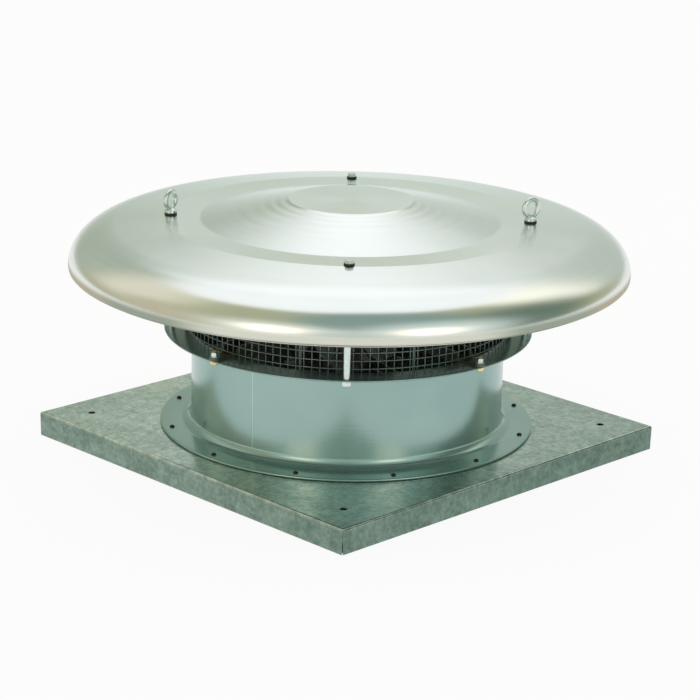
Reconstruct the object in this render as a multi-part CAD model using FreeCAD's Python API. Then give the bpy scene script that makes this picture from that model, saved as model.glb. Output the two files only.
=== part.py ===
import FreeCAD, Part
import math
import os

# Roof fan: a spun aluminium cowl over a wire guard, on a flanged round casing that stands on a square
# galvanised base plate. A vertical motor hangs its axial impeller in the casing and blows air upwards,
# then outwards under the cowl. Origin: centre of the base plate's underside edge. +Z up, millimetres.
# The base plate's sides lie along X and Y.

# Base plate
base_margin = 51.0
base_height = 40.0
base_sheet = 2.0
base_fold_radius = 4.0
corner_seam_width = 1.6
fixing_inset = 60.0
fixing_hole_diameter = 12.0

# Casing
casing_diameter = 506.7
casing_wall = 2.5
casing_height = 158.3
foot_flange_width = 50.65
foot_bend_radius = 16.0
top_flange_width = 44.45
top_bend_radius = 6.0
seam_angle = -80.0
seam_bead_radius = 2.0
gasket_thickness = 2.0
gasket_inset = 2.0

# Foot flange rivets
rivet_edge_distance = 14.4
rivet_count = 12
rivet_head_diameter = 8.0
rivet_head_height = 3.0
rivet_shank_diameter = 4.8
rivet_tail_diameter = 7.2
rivet_tail_height = 2.2

# Top flange fixings and posts
bolt_edge_distance = 9.8
post_count = 4
post_first_angle = 45.0
arm_first_angle = 0.0
bolt_diameter = 8.0
nut_across_flats = 13.0
nut_height = 6.5
bolt_head_height = 5.3
washer_diameter = 16.0
washer_thickness = 1.6
thread_end = 2.5
post_diameter = 12.0
outlet_height = 175.7

# Wire guard
guard_inset = 26.0
guard_wire = 1.8
guard_upright_count = 130
guard_hoop_count = 5
guard_hoop_sides = 65
guard_end_gap = 0.3

# Cowl
cowl_sheet = 2.0
crown_disc_radius = 100.9
crown_height = 31.4
crown_step = 1.4
seat_inside_posts = 47.7
seat_outside_posts = 8.0
shoulder_width = 89.3
shoulder_height = 64.7
cowl_radius = 450.3
shoulder_offset = 7.7
lip_tuck = 8.5
lip_depth = 9.3
lip_hem = 4.4
shoulder_chords = 3

# Cowl fixings
eye_outer_diameter = 36.0
eye_inner_diameter = 20.0
eye_collar_diameter = 20.0
eye_collar_height = 5.0
eye_angle_near = -9.0
eye_angle_far = 17.0
eye_washer_diameter = 22.0
eye_washer_thickness = 5.0
cowl_washer_diameter = 17.0
cowl_washer_thickness = 3.0
cowl_bolt_reach = 18.0
post_hole_depth = 25.0

# Motor support arms
arm_width = 36.0
arm_sheet = 4.0
arm_lip_height = 14.0
lip_clearance = 4.0

# Motor
motor_flange_edge = 17.5
motor_flange_thickness = 11.0
motor_bolt_offset = 14.5
motor_bolt_diameter = 10.0
motor_bolt_head_height = 6.4
motor_bolt_head_flats = 17.0
motor_nut_height = 8.0
spigot_inset = 17.5
spigot_depth = 3.5
barrel_radius = 68.0
barrel_wall = 8.0
barrel_height = 118.0
barrel_flare = 2.0
fin_count = 28
fin_depth = 10.0
fin_thickness = 3.0
fin_root = 1.0
shield_height = 23.0
shield_wall = 6.0
register_depth = 6.0
rear_cap_height = 18.0
bearing_bore_radius = 10.0
bearing_outer_radius = 23.5
bearing_width = 14.0
bore_rim = 2.0
shaft_stub_diameter = 19.0
stator_depth = 23.0
air_gap = 0.4
rotor_core_bore_radius = 15.0
winding_length = 12.0
winding_clearance = 5.0
winding_end_gap = 6.0
tie_screw_diameter = 5.0
tie_screw_head_flats = 8.0
tie_screw_head_height = 3.5
terminal_angle = 135.0
terminal_box_width = 84.0
terminal_box_height = 76.0
terminal_box_depth = 38.0
terminal_lid_thickness = 6.0
terminal_screw_inset = 9.0
terminal_screw_radius = 4.0
terminal_screw_height = 2.5
gland_diameter = 24.0
gland_length = 22.0
gland_bore = 10.0
gland_end_radius = 9.1
gland_neck_radius = 11.0

# Impeller
blade_count = 6
tip_gap = 4.5
hub_radius = 80.0
hub_half_height = 20.0
impeller_clearance = 11.7
blade_root_gap = 2.5
blade_root_chord = 104.0
blade_tip_chord = 92.0
blade_root_thickness = 9.5
blade_tip_thickness = 6.0
blade_edge_thickness = 1.2
blade_camber = 0.055
blade_lead = 500.0
blade_axis_share = 0.42
blade_shank_radius = 12.0
blade_root_depth = 34.0
blade_collar_radius = 16.0
blade_collar_width = 6.0
root_overlap = 1.0
blade_trim = 3.0
blade_chords = 4
blade_spans = 3
fairing_length = 34.0
fairing_tip_radius = 3.0
clamp_screw_inset = 18.0
clamp_screw_diameter = 6.0
clamp_head_flats = 10.0
clamp_head_height = 6.0
retaining_washer_thickness = 3.0
retaining_reach = 14.0
boss_radius = 22.0
boss_web = 6.0
boss_gap = 2.0
key_size = 6.0
key_length = 24.0
hub_opening_radius = 30.0
hub_cap_depth = 16.0
hub_cap_face_radius = 39.0

# Faces kept on small round pieces and in bends
small_sides = 8
round_sides = 12
inner_sides = 24
bend_chords = 2

# Clearances
running_gap = 0.05
seat_gap = 0.02
hole_clearance = 0.5

# Radii worked out from the sizes above
casing_outer_radius = casing_diameter / 2
casing_bore_radius = casing_outer_radius - casing_wall
foot_flange_radius = casing_outer_radius + foot_flange_width
top_flange_radius = casing_outer_radius + top_flange_width
base_side = 2 * (foot_flange_radius + base_margin)
rivet_reach = foot_flange_radius - rivet_edge_distance
post_reach = top_flange_radius - bolt_edge_distance
guard_radius = post_reach - guard_inset
seat_inner_radius = post_reach - seat_inside_posts
seat_outer_radius = post_reach + seat_outside_posts
lip_radius = cowl_radius - lip_tuck
barrel_bore_radius = barrel_radius - barrel_wall
rotor_radius = barrel_bore_radius - stator_depth
motor_bolt_reach = barrel_radius + motor_bolt_offset
motor_flange_radius = motor_bolt_reach + motor_flange_edge
spigot_radius = motor_bolt_reach - spigot_inset
tip_radius = casing_bore_radius - tip_gap
blade_start = hub_radius + blade_root_gap
blade_shank_inner = hub_radius - blade_root_depth
clamp_screw_reach = hub_radius - clamp_screw_inset

# Heights worked out from the sizes above
foot_low = base_height + gasket_thickness
foot_top = foot_low + casing_wall
flange_top = foot_low + casing_height
flange_underside = flange_top - casing_wall
cowl_underside = flange_top + outlet_height
seat_top = cowl_underside + cowl_sheet
arm_top = flange_top + arm_sheet
motor_flange_top = arm_top + motor_flange_thickness
barrel_bottom = motor_flange_top + shield_height - register_depth
barrel_top = barrel_bottom + barrel_height
core_length = barrel_height - 2 * (register_depth + winding_end_gap + winding_length)
widest_drop = shoulder_height + shoulder_offset
lip_drop = widest_drop + lip_depth
root_pitch = math.atan(blade_lead / (2 * math.pi * blade_start))
blade_rise = (1 - blade_axis_share) * blade_root_chord * math.sin(root_pitch)
impeller_level = flange_top - motor_bolt_head_height - impeller_clearance - blade_rise
stub_end = impeller_level + hub_half_height - boss_web

origin = FreeCAD.Vector(0, 0, 0)
up = FreeCAD.Vector(0, 0, 1)
along_y = FreeCAD.Vector(0, 1, 0)


def point(r, z):
    return FreeCAD.Vector(r, 0, z)


def rod(radius, low, high, x=0.0, y=0.0):
    return Part.makeCylinder(radius, high - low, FreeCAD.Vector(x, y, low))


def ring(inner, outer, low, high):
    return rod(outer, low, high).cut(rod(inner, low, high))


def bar(x_range, y_range, z_range):
    corner = FreeCAD.Vector(x_range[0], y_range[0], z_range[0])
    return Part.makeBox(x_range[1] - x_range[0], y_range[1] - y_range[0], z_range[1] - z_range[0], corner)


def polygon(sides, radius, level, x=0.0):
    corners = []
    for k in range(sides):
        angle = 2 * math.pi * k / sides
        corners.append(FreeCAD.Vector(x + radius * math.cos(angle), radius * math.sin(angle), level))
    return Part.makePolygon(corners + corners[:1])


def prism(sides, radius, low, high, x=0.0):
    """Regular prism whose corners lie on the radius."""
    return Part.Face(polygon(sides, radius, low, x)).extrude(FreeCAD.Vector(0, 0, high - low))


def prism_round(sides, radius, low, high, x=0.0):
    """Regular prism whose flats touch the radius."""
    return prism(sides, radius / math.cos(math.pi / sides), low, high, x)


def peg(radius, low, high, x=0.0):
    """Small shank with few sides; it turns freely inside a peg hole of its radius."""
    return prism(small_sides, radius, low, high, x)


def peg_hole(radius, low, high, x=0.0):
    return prism_round(small_sides, radius, low, high, x)


def taper(sides, low_radius, high_radius, low, high):
    """Prism that tapers from one radius to the other, with flat sides."""
    ends = [polygon(sides, low_radius, low), polygon(sides, high_radius, high)]
    under, over = [[vertex.Point for vertex in end.OrderedVertexes] for end in ends]
    faces = [Part.Face(end) for end in ends]
    for k in range(sides):
        after = (k + 1) % sides
        faces.append(Part.Face(Part.makePolygon([under[k], under[after], over[after], over[k], under[k]])))
    return Part.Solid(Part.Shell(faces))


def hex_prism(across_flats, low, high):
    return prism_round(6, across_flats / 2, low, high)


def hex_nut(low, height, across_flats, bore):
    return hex_prism(across_flats, low, low + height).cut(peg_hole(bore / 2, low, low + height))


def washer(low, thickness, diameter, bore):
    disc = prism(round_sides, diameter / 2, low, low + thickness)
    return disc.cut(peg_hole(bore / 2, low, low + thickness))


def lying(shape, level=0.0):
    """Turn a shape made upright along Z so that it points along X at the given level."""
    copy = shape.copy()
    copy.rotate(origin, along_y, 90)
    copy.translate(FreeCAD.Vector(0, 0, level))
    return copy


def bend_points(before, corner, after, radius):
    """Points of a bend of the given radius at a corner, as a few chords of its arc."""
    back = (before - corner).normalize()
    ahead = (after - corner).normalize()
    half = back.getAngle(ahead) / 2
    middle = (back + ahead).normalize()
    centre = corner + middle * (radius / math.sin(half))
    start = corner + back * (radius / math.tan(half)) - centre
    end = corner + ahead * (radius / math.tan(half)) - centre
    sweep = math.pi - 2 * half
    points = []
    for k in range(bend_chords + 1):
        share = k / bend_chords
        points.append(centre + (start * math.sin((1 - share) * sweep) + end * math.sin(share * sweep))
                      * (1 / math.sin(sweep)))
    return points


def spin(points):
    return Part.Face(Part.makePolygon(points + points[:1])).revolve(origin, up, 360)


def spin_outline(corners):
    """Turned solid from its (r, z) corners; a third value is the radius of a bend at that corner."""
    points = []
    for k, corner in enumerate(corners):
        here = point(*corner[:2])
        if len(corner) == 2:
            points.append(here)
        else:
            before = point(*corners[k - 1][:2])
            after = point(*corners[(k + 1) % len(corners)][:2])
            points += bend_points(before, here, after, corner[2])
    return spin(points)


def turned(shape, angle):
    copy = shape.copy()
    copy.rotate(origin, up, angle)
    return copy


def around(shape, count, first_angle=0.0):
    return [turned(shape, first_angle + 360.0 * k / count) for k in range(count)]


def placed(shape, radius, angle=0.0):
    copy = shape.copy()
    copy.translate(FreeCAD.Vector(radius, 0, 0))
    return turned(copy, angle)


def save(name, shapes):
    shape = shapes[0] if len(shapes) == 1 else Part.makeCompound(shapes)
    shape.exportStep("parts/" + name + ".step")


def folded_tray(side, height, fold_radius):
    """Square block whose four top edges are rounded by the fold."""
    half = side / 2
    block = bar((-half, half), (-half, half), (0.0, height))
    top_edges = [edge for edge in block.Edges if edge.BoundBox.ZMin > height - fold_radius]
    return block.makeFillet(fold_radius, top_edges)


def rivet_holes(low, high):
    hole = peg_hole((rivet_shank_diameter + hole_clearance) / 2, low, high, rivet_reach)
    return around(hole, rivet_count)


def base_plate():
    """Square sheet with its rims folded down, open at the corners, with the air hole in the middle."""
    outer = folded_tray(base_side, base_height, base_fold_radius)
    inner = folded_tray(base_side - 2 * base_sheet, base_height - base_sheet, base_fold_radius - base_sheet)
    plate = outer.cut(inner)
    cuts = [rod(casing_bore_radius, 0, base_height)]
    cuts += rivet_holes(0, base_height)
    spot = base_side / 2 - fixing_inset
    for x in (-spot, spot):
        for y in (-spot, spot):
            cuts.append(rod(fixing_hole_diameter / 2, 0, base_height, x, y))
    corner = base_side / math.sqrt(2)
    half_seam = corner_seam_width / 2
    reach = 2 * base_fold_radius + base_sheet
    seam = bar((corner - reach, corner), (-half_seam, half_seam), (0, base_height - base_fold_radius))
    cuts += around(seam, 4, 45.0)
    return plate.cut(Part.makeCompound(cuts))


def casing():
    """Rolled drum with both ends turned out into flanges, closed by a welded seam up one side."""
    drum = spin_outline([
        (casing_bore_radius, foot_low, foot_bend_radius + casing_wall),
        (foot_flange_radius, foot_low),
        (foot_flange_radius, foot_top),
        (casing_outer_radius, foot_top, foot_bend_radius),
        (casing_outer_radius, flange_underside, top_bend_radius),
        (top_flange_radius, flange_underside),
        (top_flange_radius, flange_top),
        (casing_bore_radius, flange_top, top_bend_radius + casing_wall),
    ])
    bead_low = foot_top + foot_bend_radius
    bead_high = flange_underside - top_bend_radius
    bead = peg(seam_bead_radius, bead_low, bead_high, casing_outer_radius)
    drum = drum.fuse(turned(bead, seam_angle)).cut(rod(casing_bore_radius, bead_low, bead_high))
    bolt_hole = peg_hole((bolt_diameter + hole_clearance) / 2, flange_underside, flange_top, post_reach)
    cuts = rivet_holes(foot_low, foot_top)
    cuts += around(bolt_hole, post_count, post_first_angle)
    cuts += around(bolt_hole, post_count, arm_first_angle)
    return drum.cut(Part.makeCompound(cuts))


def foot_gasket():
    """Flat rubber seal between foot flange and plate, set back a little from the flange's edge."""
    inner = casing_bore_radius + foot_bend_radius + casing_wall
    seal = ring(inner, foot_flange_radius - gasket_inset, base_height, foot_low)
    return seal.cut(Part.makeCompound(rivet_holes(base_height, foot_low)))


def flange_rivets():
    """Black rivets through flange, seal and plate, set against the plate's underside."""
    plate_underside = base_height - base_sheet
    head = taper(small_sides, rivet_head_diameter / 2, rivet_head_diameter / 4, foot_top, foot_top + rivet_head_height)
    shank = peg(rivet_shank_diameter / 2, plate_underside, foot_top)
    tail = peg(rivet_tail_diameter / 2, plate_underside - rivet_tail_height, plate_underside)
    return around(placed(head.fuse([shank, tail]), rivet_reach), rivet_count)


def cowl_posts():
    """Round spacers that carry the cowl: a stud below, a blind threaded hole on top."""
    stud_low = flange_underside - washer_thickness - nut_height - thread_end
    post = prism(round_sides, post_diameter / 2, flange_top, cowl_underside)
    post = post.fuse(peg(bolt_diameter / 2, stud_low, flange_top))
    post = post.cut(peg_hole(bolt_diameter / 2 + running_gap, cowl_underside - post_hole_depth, cowl_underside))
    return around(placed(post, post_reach), post_count, post_first_angle)


def flat_washers(first_angle, low):
    disc = washer(low, washer_thickness, washer_diameter, bolt_diameter + hole_clearance)
    return around(placed(disc, post_reach), post_count, first_angle)


def bolt_nuts(first_angle, low):
    nut = hex_nut(low, nut_height, nut_across_flats, bolt_diameter + 2 * running_gap)
    return around(placed(nut, post_reach), post_count, first_angle)


def arm_bolts():
    """Short bolts pushed up through flange and arm, heads below."""
    head_low = flange_underside - bolt_head_height
    tip = arm_top + washer_thickness + nut_height + thread_end
    bolt = hex_prism(nut_across_flats, head_low, flange_underside)
    bolt = bolt.fuse(peg(bolt_diameter / 2, flange_underside, tip))
    return around(placed(bolt, post_reach), post_count, arm_first_angle)


def arm_lip(side):
    """Upturned lip along one side of an arm, with its two upper corners cut off."""
    outer = side * arm_width / 2
    inner = side * (arm_width / 2 - arm_sheet)
    start = motor_flange_radius + lip_clearance
    end = guard_radius - guard_wire / 2 - lip_clearance
    top = arm_top + arm_lip_height
    lip = bar((start, end), (min(outer, inner), max(outer, inner)), (arm_top, top))
    corners = [edge for edge in lip.Edges
               if edge.BoundBox.ZMin > top - arm_sheet / 2 and edge.BoundBox.XLength < arm_sheet / 2]
    return lip.makeChamfer(arm_lip_height / 2, corners)


def motor_arms():
    """Pressed channel arms: flat web with upturned lips, round ear on the casing flange."""
    ear = post_reach
    half = arm_width / 2
    inner_end = spigot_radius + hole_clearance
    shoulder = guard_radius + guard_wire
    web = bar((inner_end, ear), (-half, half), (flange_top, arm_top))
    web = web.cut(bar((shoulder, ear), (bolt_edge_distance, half), (flange_top, arm_top)))
    web = web.cut(bar((shoulder, ear), (-half, -bolt_edge_distance), (flange_top, arm_top)))
    arm = web.fuse([rod(bolt_edge_distance, flange_top, arm_top, ear), arm_lip(1), arm_lip(-1)]).removeSplitter()
    holes = [peg_hole((bolt_diameter + hole_clearance) / 2, flange_top, arm_top, ear),
             peg_hole((motor_bolt_diameter + hole_clearance) / 2, flange_top, arm_top, motor_bolt_reach)]
    return around(arm.cut(Part.makeCompound(holes)), post_count, arm_first_angle)


def guard_uprights():
    """Straight wires of the guard. Those above an arm start on top of it."""
    half = guard_wire / 2
    high = cowl_underside - guard_end_gap
    wires = []
    for k in range(guard_upright_count):
        angle = 360.0 * (k + 0.5) / guard_upright_count
        nearest = math.radians((angle - arm_first_angle + 45.0) % 90.0 - 45.0)
        over_arm = abs(guard_radius * math.sin(nearest)) < arm_width / 2 + guard_wire
        low = (arm_top if over_arm else flange_top) + guard_end_gap
        wire = bar((guard_radius - half, guard_radius + half), (-half, half), (low, high))
        wires.append(turned(wire, angle))
    return wires


def guard_hoops():
    """Hoops welded round the outside of the uprights, evenly spaced."""
    inner = guard_radius + guard_wire / 2 + seat_gap
    first = arm_top + 2 * guard_wire
    last = cowl_underside - 2 * guard_wire
    hoops = []
    for k in range(guard_hoop_count):
        low = first + (last - first) * k / (guard_hoop_count - 1) - guard_wire / 2
        high = low + guard_wire
        hoop = prism_round(guard_hoop_sides, inner + guard_wire, low, high)
        hoops.append(hoop.cut(prism_round(guard_hoop_sides, inner, low, high)))
    return hoops


def shoulder_join(drop):
    """Angle on the shoulder ellipse where a straight cone from the seat ring runs into it smoothly."""
    centre = cowl_radius - shoulder_width
    low, high = 0.0, math.pi / 3
    for _ in range(40):
        angle = (low + high) / 2
        rise = (shoulder_height - drop) * math.cos(angle)
        reach = centre + (shoulder_width - drop) * math.sin(angle) - seat_outer_radius
        slope = (shoulder_height - drop) / (shoulder_width - drop) * math.tan(angle)
        if seat_top - drop - slope * reach > seat_top - widest_drop + rise:
            low = angle
        else:
            high = angle
    return (low + high) / 2


def cowl_profile(drop):
    """Profile of the cowl from crown to lip, moved inwards by drop."""
    crown = seat_top + crown_height - drop
    disc = crown_disc_radius - drop / 2
    profile = [point(0, crown), point(disc, crown), point(disc + crown_step, crown - crown_step),
               point(seat_inner_radius, seat_top - drop), point(seat_outer_radius, seat_top - drop)]
    centre = cowl_radius - shoulder_width
    join = shoulder_join(drop)
    for k in range(shoulder_chords + 1):
        angle = join + (math.pi / 2 - join) * k / shoulder_chords
        profile.append(point(centre + (shoulder_width - drop) * math.sin(angle),
                             seat_top - widest_drop + (shoulder_height - drop) * math.cos(angle)))
    tuck = (cowl_radius - lip_radius) / 4
    profile.append(point(cowl_radius - tuck - drop, seat_top - (widest_drop + lip_drop) / 2))
    return profile


def cowl():
    """Spun dome: flat crown disc, cone, seat ring, outer cone, elliptical shoulder, hemmed lip."""
    lip_level = seat_top - lip_drop
    lip = [point(lip_radius, lip_level), point(lip_radius - lip_hem, lip_level),
           point(lip_radius - lip_hem, lip_level + lip_hem)]
    shell = spin(cowl_profile(0.0) + lip + cowl_profile(cowl_sheet)[::-1])
    hole = peg_hole((bolt_diameter + hole_clearance) / 2, cowl_underside, seat_top, post_reach)
    return shell.cut(Part.makeCompound(around(hole, post_count, post_first_angle)))


def cowl_washers():
    """Rubber washers: thick ones under the eyes, thinner ones under the bolts."""
    bore = bolt_diameter + 2 * running_gap
    thick = washer(seat_top, eye_washer_thickness, eye_washer_diameter, bore)
    thin = washer(seat_top, cowl_washer_thickness, cowl_washer_diameter, bore)
    reach = post_reach
    pairs = around(placed(thick, reach), 2, post_first_angle)
    return pairs + around(placed(thin, reach), 2, post_first_angle + 90.0)


def eye_bolt(face_angle):
    """Lifting eye: forged ring on a collar with a shank; the ring faces along face_angle."""
    low = seat_top + eye_washer_thickness
    wire = (eye_outer_diameter - eye_inner_diameter) / 4
    mean = (eye_outer_diameter + eye_inner_diameter) / 4
    centre = low + eye_collar_height + mean
    section = []
    for k in range(small_sides):
        angle = 2 * math.pi * k / small_sides
        section.append(point(wire * math.cos(angle), centre + mean + wire * math.sin(angle)))
    loop = Part.Face(Part.makePolygon(section + section[:1]))
    eye = loop.revolve(point(0, centre), FreeCAD.Vector(1, 0, 0), 360)
    collar = taper(round_sides, eye_collar_diameter / 2, eye_collar_diameter / 3, low, low + eye_collar_height)
    shank = peg(bolt_diameter / 2, cowl_underside - cowl_bolt_reach, low)
    neck = peg(wire, low, centre - mean)
    return turned(eye.fuse([collar, shank, neck]), face_angle)


def eye_bolts():
    near = turned(eye_bolt(eye_angle_near), -post_first_angle)
    far = turned(eye_bolt(eye_angle_far), -post_first_angle - 180.0)
    reach = post_reach
    return [placed(near, reach, post_first_angle), placed(far, reach, post_first_angle + 180.0)]


def cowl_bolts():
    """Low hexagon bolts that hold the cowl on the other two posts."""
    low = seat_top + cowl_washer_thickness
    bolt = hex_prism(nut_across_flats, low, low + bolt_head_height)
    bolt = bolt.fuse(peg(bolt_diameter / 2, cowl_underside - cowl_bolt_reach, low))
    return around(placed(bolt, post_reach), 2, post_first_angle + 90.0)


def drive_end_shield():
    """Motor flange: mounting disc, spigot, register of the finned housing and lower bearing seat."""
    shaft_hole = bearing_bore_radius + bore_rim
    seat = bearing_outer_radius + seat_gap
    register = barrel_bore_radius - seat_gap
    shield = spin_outline([
        (shaft_hole, arm_top - spigot_depth),
        (spigot_radius, arm_top - spigot_depth),
        (spigot_radius, arm_top),
        (motor_flange_radius, arm_top),
        (motor_flange_radius, motor_flange_top),
        (barrel_radius + barrel_flare, motor_flange_top),
        (barrel_radius, barrel_bottom),
        (register, barrel_bottom),
        (register, barrel_bottom + register_depth),
        (seat, barrel_bottom + register_depth),
        (seat, lower_bearing_low()),
        (shaft_hole, lower_bearing_low()),
    ])
    hole = peg_hole((motor_bolt_diameter + hole_clearance) / 2, arm_top, motor_flange_top, motor_bolt_reach)
    return shield.cut(Part.makeCompound(around(hole, post_count, arm_first_angle)))


def lower_bearing_low():
    return barrel_bottom + register_depth - bearing_width


def upper_bearing_low():
    return barrel_top - register_depth


def motor_housing():
    """Die-cast barrel with cooling fins all round except at the terminal box pad."""
    barrel = ring(barrel_bore_radius, barrel_radius, barrel_bottom, barrel_top)
    fin = bar((barrel_radius - fin_root, barrel_radius + fin_depth), (-fin_thickness / 2, fin_thickness / 2),
              (barrel_bottom + fin_root, barrel_top - fin_root))
    pad_half_angle = math.degrees(math.asin(terminal_box_width / 2 / (barrel_radius + fin_depth)))
    fins = []
    for k in range(fin_count):
        angle = 360.0 * k / fin_count
        away = abs((angle - terminal_angle + 180.0) % 360.0 - 180.0)
        if away > pad_half_angle:
            fins.append(turned(fin, angle))
    half = terminal_box_width / 2 - shield_wall
    middle = (barrel_bottom + barrel_top) / 2
    tall = terminal_box_height / 2 - shield_wall
    skin = barrel_radius - fin_root
    start = math.sqrt(skin ** 2 - half ** 2)
    pad = bar((start, barrel_radius + fin_depth), (-half, half), (middle - tall, middle + tall))
    pad = turned(pad.cut(rod(skin, middle - tall, middle + tall)), terminal_angle)
    return barrel.fuse(fins + [pad]).removeSplitter()


def tie_screw_reach():
    return (barrel_radius + barrel_bore_radius) / 2


def rear_end_shield():
    """Closed upper end of the motor, with the upper bearing's seat on its underside."""
    seat_low = upper_bearing_low()
    seat = bearing_outer_radius + seat_gap
    top = barrel_top + rear_cap_height
    shield = spin_outline([
        (0, seat_low + bearing_width),
        (seat, seat_low + bearing_width),
        (seat, seat_low),
        (seat + shield_wall, seat_low),
        (seat + shield_wall, barrel_top),
        (barrel_radius, barrel_top),
        (barrel_radius, barrel_top + shield_wall),
        (barrel_bore_radius - shield_wall / 2, barrel_top + shield_wall),
        (seat + 2 * shield_wall, top),
        (0, top),
    ])
    hole = peg_hole(tie_screw_diameter / 2 + hole_clearance, barrel_top, top, tie_screw_reach())
    return shield.cut(Part.makeCompound(around(hole, post_count, post_first_angle)))


def tie_screws():
    """Screws that hold the rear shield on the housing."""
    level = barrel_top + shield_wall
    screw = hex_prism(tie_screw_head_flats, level, level + tie_screw_head_height)
    screw = screw.fuse(peg(tie_screw_diameter / 2, barrel_top, level))
    return around(placed(screw, tie_screw_reach()), post_count, post_first_angle)


def core_span():
    middle = (barrel_bottom + barrel_top) / 2
    return middle - core_length / 2, middle + core_length / 2


def sealed_ring(inner, outer, low, high):
    """Ring inside the closed motor, with few sides; it touches neither radius from the wrong side."""
    hollow = prism_round(inner_sides, inner, low, high)
    return prism(inner_sides, outer, low, high).cut(hollow)


def stator_core():
    low, high = core_span()
    return sealed_ring(rotor_radius + air_gap, barrel_bore_radius - seat_gap, low, high)


def stator_windings():
    """End turns of the windings, one ring above and one below the core."""
    low, high = core_span()
    inner = rotor_radius + winding_clearance
    outer = barrel_bore_radius - winding_clearance
    return [sealed_ring(inner, outer, start, start + winding_length) for start in (low - winding_length, high)]


def motor_bearings():
    seats = (lower_bearing_low(), upper_bearing_low())
    return [sealed_ring(bearing_bore_radius + running_gap, bearing_outer_radius, low, low + bearing_width)
            for low in seats]


def rotor_core():
    low, high = core_span()
    return sealed_ring(rotor_core_bore_radius + seat_gap, rotor_radius, low, high)


def key_slot(clearance):
    """Block of the shaft key, enlarged on its sides by clearance."""
    half = key_size / 2 + clearance
    low = stub_end + hole_clearance
    reach = shaft_stub_diameter / 2
    return bar((reach - half, reach + half), (-half, half), (low, low + key_length))


def motor_shaft():
    """Stepped shaft: thick under the rotor core, bearing seats, keyed stub below."""
    low, high = core_span()
    step = lower_bearing_low()
    top = upper_bearing_low() + bearing_width - hole_clearance
    shaft = rod(shaft_stub_diameter / 2, stub_end, step)
    shaft = shaft.fuse([rod(bearing_bore_radius, step - bore_rim, top), rod(rotor_core_bore_radius, low, high)])
    tapped = peg_hole(clamp_screw_diameter / 2 + running_gap, stub_end, stub_end + retaining_reach + hole_clearance)
    return shaft.cut(Part.makeCompound([tapped, key_slot(0.0)]))


def shaft_key():
    return key_slot(-seat_gap)


def motor_bolts():
    """Bolts that hold the motor flange on the arms, heads below."""
    low = flange_top - motor_bolt_head_height
    top = motor_flange_top + motor_nut_height + thread_end
    bolt = hex_prism(motor_bolt_head_flats, low, flange_top)
    bolt = bolt.fuse(peg(motor_bolt_diameter / 2, flange_top, top))
    return around(placed(bolt, motor_bolt_reach), post_count, arm_first_angle)


def motor_nuts():
    bore = motor_bolt_diameter + 2 * running_gap
    nut = hex_nut(motor_flange_top, motor_nut_height, motor_bolt_head_flats, bore)
    return around(placed(nut, motor_bolt_reach), post_count, arm_first_angle)


def terminal_spans():
    """Where the terminal box starts outwards, and what it spans across and upwards."""
    middle = (barrel_bottom + barrel_top) / 2
    half = terminal_box_width / 2
    tall = terminal_box_height / 2
    return barrel_radius + fin_depth, (-half, half), (middle - tall, middle + tall)


def terminal_box():
    """Open-fronted cast box on the housing's pad."""
    near, across, upright = terminal_spans()
    wall = shield_wall / 2
    box = bar((near, near + terminal_box_depth), across, upright)
    corners = [edge for edge in box.Edges if edge.BoundBox.XLength > terminal_box_depth / 2]
    box = box.makeChamfer(shield_wall, corners)
    hollow = bar((near + wall, near + terminal_box_depth), (across[0] + wall, across[1] - wall),
                 (upright[0] + wall, upright[1] - wall))
    corners = [edge for edge in hollow.Edges if edge.BoundBox.XLength > terminal_box_depth / 2]
    hollow = hollow.makeChamfer(shield_wall, corners)
    entry = peg_hole(gland_bore / 2, upright[0], upright[0] + wall, near + terminal_box_depth / 2)
    return turned(box.cut(hollow.fuse(entry)), terminal_angle)


def terminal_lid():
    near, across, upright = terminal_spans()
    face = near + terminal_box_depth
    lid = bar((face, face + terminal_lid_thickness), across, upright)
    corners = [edge for edge in lid.Edges if edge.BoundBox.XLength > terminal_lid_thickness / 2]
    return turned(lid.makeChamfer(shield_wall, corners), terminal_angle)


def terminal_screws():
    """Heads of the four lid screws."""
    near, across, upright = terminal_spans()
    face = near + terminal_box_depth + terminal_lid_thickness
    head = lying(peg(terminal_screw_radius, face, face + terminal_screw_height))
    screws = []
    for y in (across[0] + terminal_screw_inset, across[1] - terminal_screw_inset):
        for z in (upright[0] + terminal_screw_inset, upright[1] - terminal_screw_inset):
            screw = head.copy()
            screw.translate(FreeCAD.Vector(0, y, z))
            screws.append(turned(screw, terminal_angle))
    return screws


def cable_gland():
    """Cable entry under the terminal box: hexagon, dome nut and the bore for the cable."""
    near, across, upright = terminal_spans()
    top = upright[0]
    low = top - gland_length
    middle = (low + top) / 2
    body = hex_prism(gland_diameter, middle, top)
    body = body.fuse(taper(round_sides, gland_end_radius, gland_neck_radius, low, middle))
    body = body.cut(peg_hole(gland_bore / 2, low, top))
    return placed(body, near + terminal_box_depth / 2, terminal_angle)


def blade_root(gap):
    """Round root of a blade with its collar, enlarged by gap; it lies along X at the impeller's level."""
    end = blade_start + root_overlap
    collar_start = blade_shank_inner + blade_collar_width
    shank = prism(round_sides, blade_shank_radius + gap, blade_shank_inner - gap, end)
    collar = prism(round_sides, blade_collar_radius + gap, collar_start - gap,
                   collar_start + blade_collar_width + gap)
    return lying(shank.fuse(collar), impeller_level)


def clamp_cutters():
    """Sockets of the blade roots and holes of the clamp screws, shared by both hub halves."""
    hole = peg_hole(clamp_screw_diameter / 2 + running_gap, impeller_level - hub_half_height,
                    impeller_level + hub_half_height, clamp_screw_reach)
    cutters = around(blade_root(running_gap), blade_count)
    return cutters + around(hole, blade_count, 180.0 / blade_count)


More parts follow.
